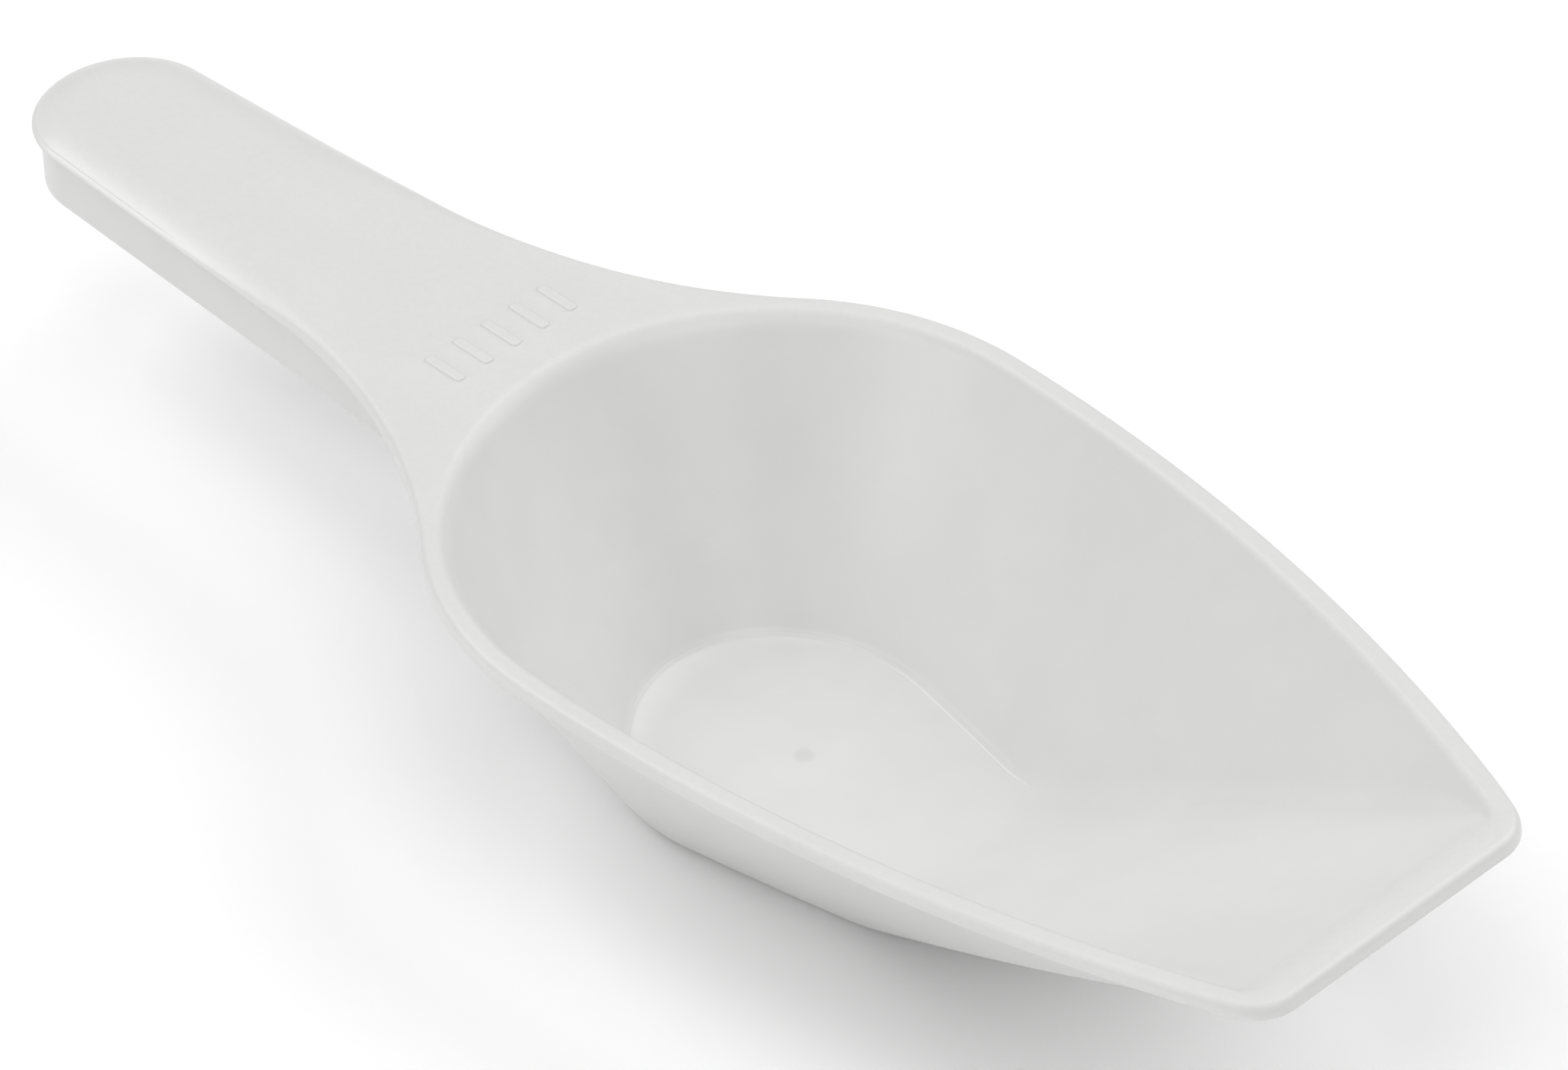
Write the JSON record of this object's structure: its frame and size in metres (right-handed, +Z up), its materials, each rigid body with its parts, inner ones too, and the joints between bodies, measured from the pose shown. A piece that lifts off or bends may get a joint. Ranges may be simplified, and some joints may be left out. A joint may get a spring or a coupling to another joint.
{
  "type": "ice scoop",
  "caption": "Moulded plastic ice scoop: a round-backed bowl with a flat floor, a ramp rising to a straight lip, and a flat handle level with the rim.",
  "frame": {"origin": "middle of the overall length and width, on the surface that the flat bottom rests on", "axes": "+X from the handle's tip towards the lip, +Y to the left, +Z up, from the flat bottom towards the open mouth"},
  "size_m": [0.24, 0.0896, 0.0392],
  "materials": {
    "white_plastic": "satin, slightly grained on the handle's top"
  },
  "bodies": {
    "root": {"scoop_moulding": "white_plastic"}
  },
  "joints": []
}
